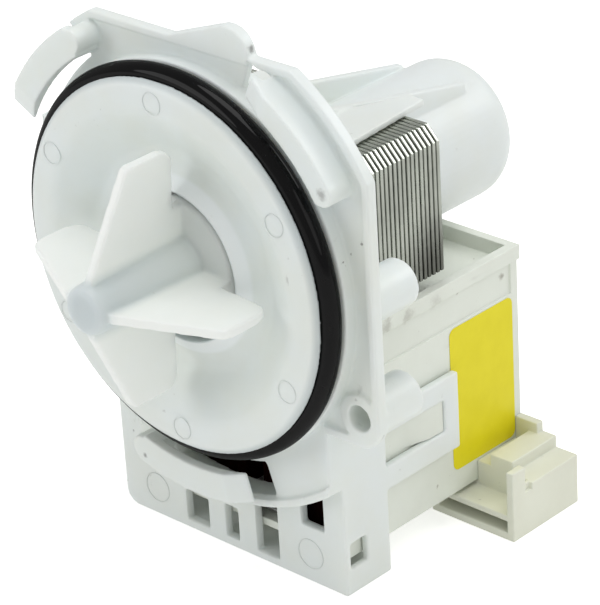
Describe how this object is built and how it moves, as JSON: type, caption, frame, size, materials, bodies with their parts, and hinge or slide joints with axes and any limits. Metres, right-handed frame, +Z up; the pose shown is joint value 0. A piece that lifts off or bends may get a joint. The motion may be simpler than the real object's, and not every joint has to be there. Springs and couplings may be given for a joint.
{
  "type": "washer drain pump",
  "caption": "Washing machine drain pump: bayonet flange with a sealing ring, a vaned impeller, a wet rotor can in a laminated stator, and a coil case with an electrical socket.",
  "frame": {"origin": "on the pump axis, in the plane where the seal ring's groove begins behind the disc's rim", "axes": "-Y along the pump axis towards the impeller, +Z up, +X towards the side with the label"},
  "size_m": [0.0832, 0.102, 0.1084],
  "materials": {
    "white_plastic": "satin moulded",
    "cream_plastic": "satin moulded",
    "impeller_plastic": "milky, slightly translucent",
    "carrier_plastic": "moulded",
    "dark_plastic": "moulded",
    "seal_rubber": "smooth, slightly glossy",
    "core_steel": "stamped plates",
    "bright_steel": "bright",
    "bush_bronze": "sintered",
    "winding_copper": "enamelled copper wire",
    "coil_tape": "tape",
    "lead_insulation": "insulated wire",
    "ferrite": "moulded ferrite",
    "label_yellow": "printed film, bare"
  },
  "bodies": {
    "pump_body": {"pump_cover": "white_plastic", "seal_ring": "seal_rubber", "bearing_carrier": "carrier_plastic", "shaft_seal": "seal_rubber", "front_bearing": "bush_bronze", "rear_bearing": "bush_bronze", "bearing_cushion": "seal_rubber", "core_limb_left": "core_steel", "core_limb_right": "core_steel", "core_yoke": "core_steel", "core_rivets": "bright_steel", "bobbin_left": "carrier_plastic", "bobbin_right": "carrier_plastic", "winding_left": "winding_copper", "winding_right": "winding_copper", "coil_tape_left": "coil_tape", "coil_tape_right": "coil_tape", "thermal_cutout": "dark_plastic", "lead_wires": "lead_insulation", "coil_case": "cream_plastic", "connector_housing": "cream_plastic", "terminal_blades": "bright_steel", "rating_label": "label_yellow"},
    "impeller_rotor": {"impeller": "impeller_plastic", "shaft": "bright_steel", "driven_dog": "carrier_plastic", "dog_buffer": "seal_rubber", "thrust_washer_front": "dark_plastic", "thrust_washer_rear": "dark_plastic"},
    "magnet_rotor": {"rotor_magnet": "ferrite", "magnet_hub": "carrier_plastic"}
  },
  "joints": [
    {"name": "impeller_spin", "type": "hinge", "parent": "pump_body", "child": "impeller_rotor", "pos_m": [0, 0, 0], "axis": [0, 1, 0], "continuous": true},
    {"name": "magnet_backlash", "type": "hinge", "parent": "impeller_rotor", "child": "magnet_rotor", "pos_m": [0, 0.0351, 0], "axis": [0, 1, 0], "range_deg": [-90, 90]}
  ]
}
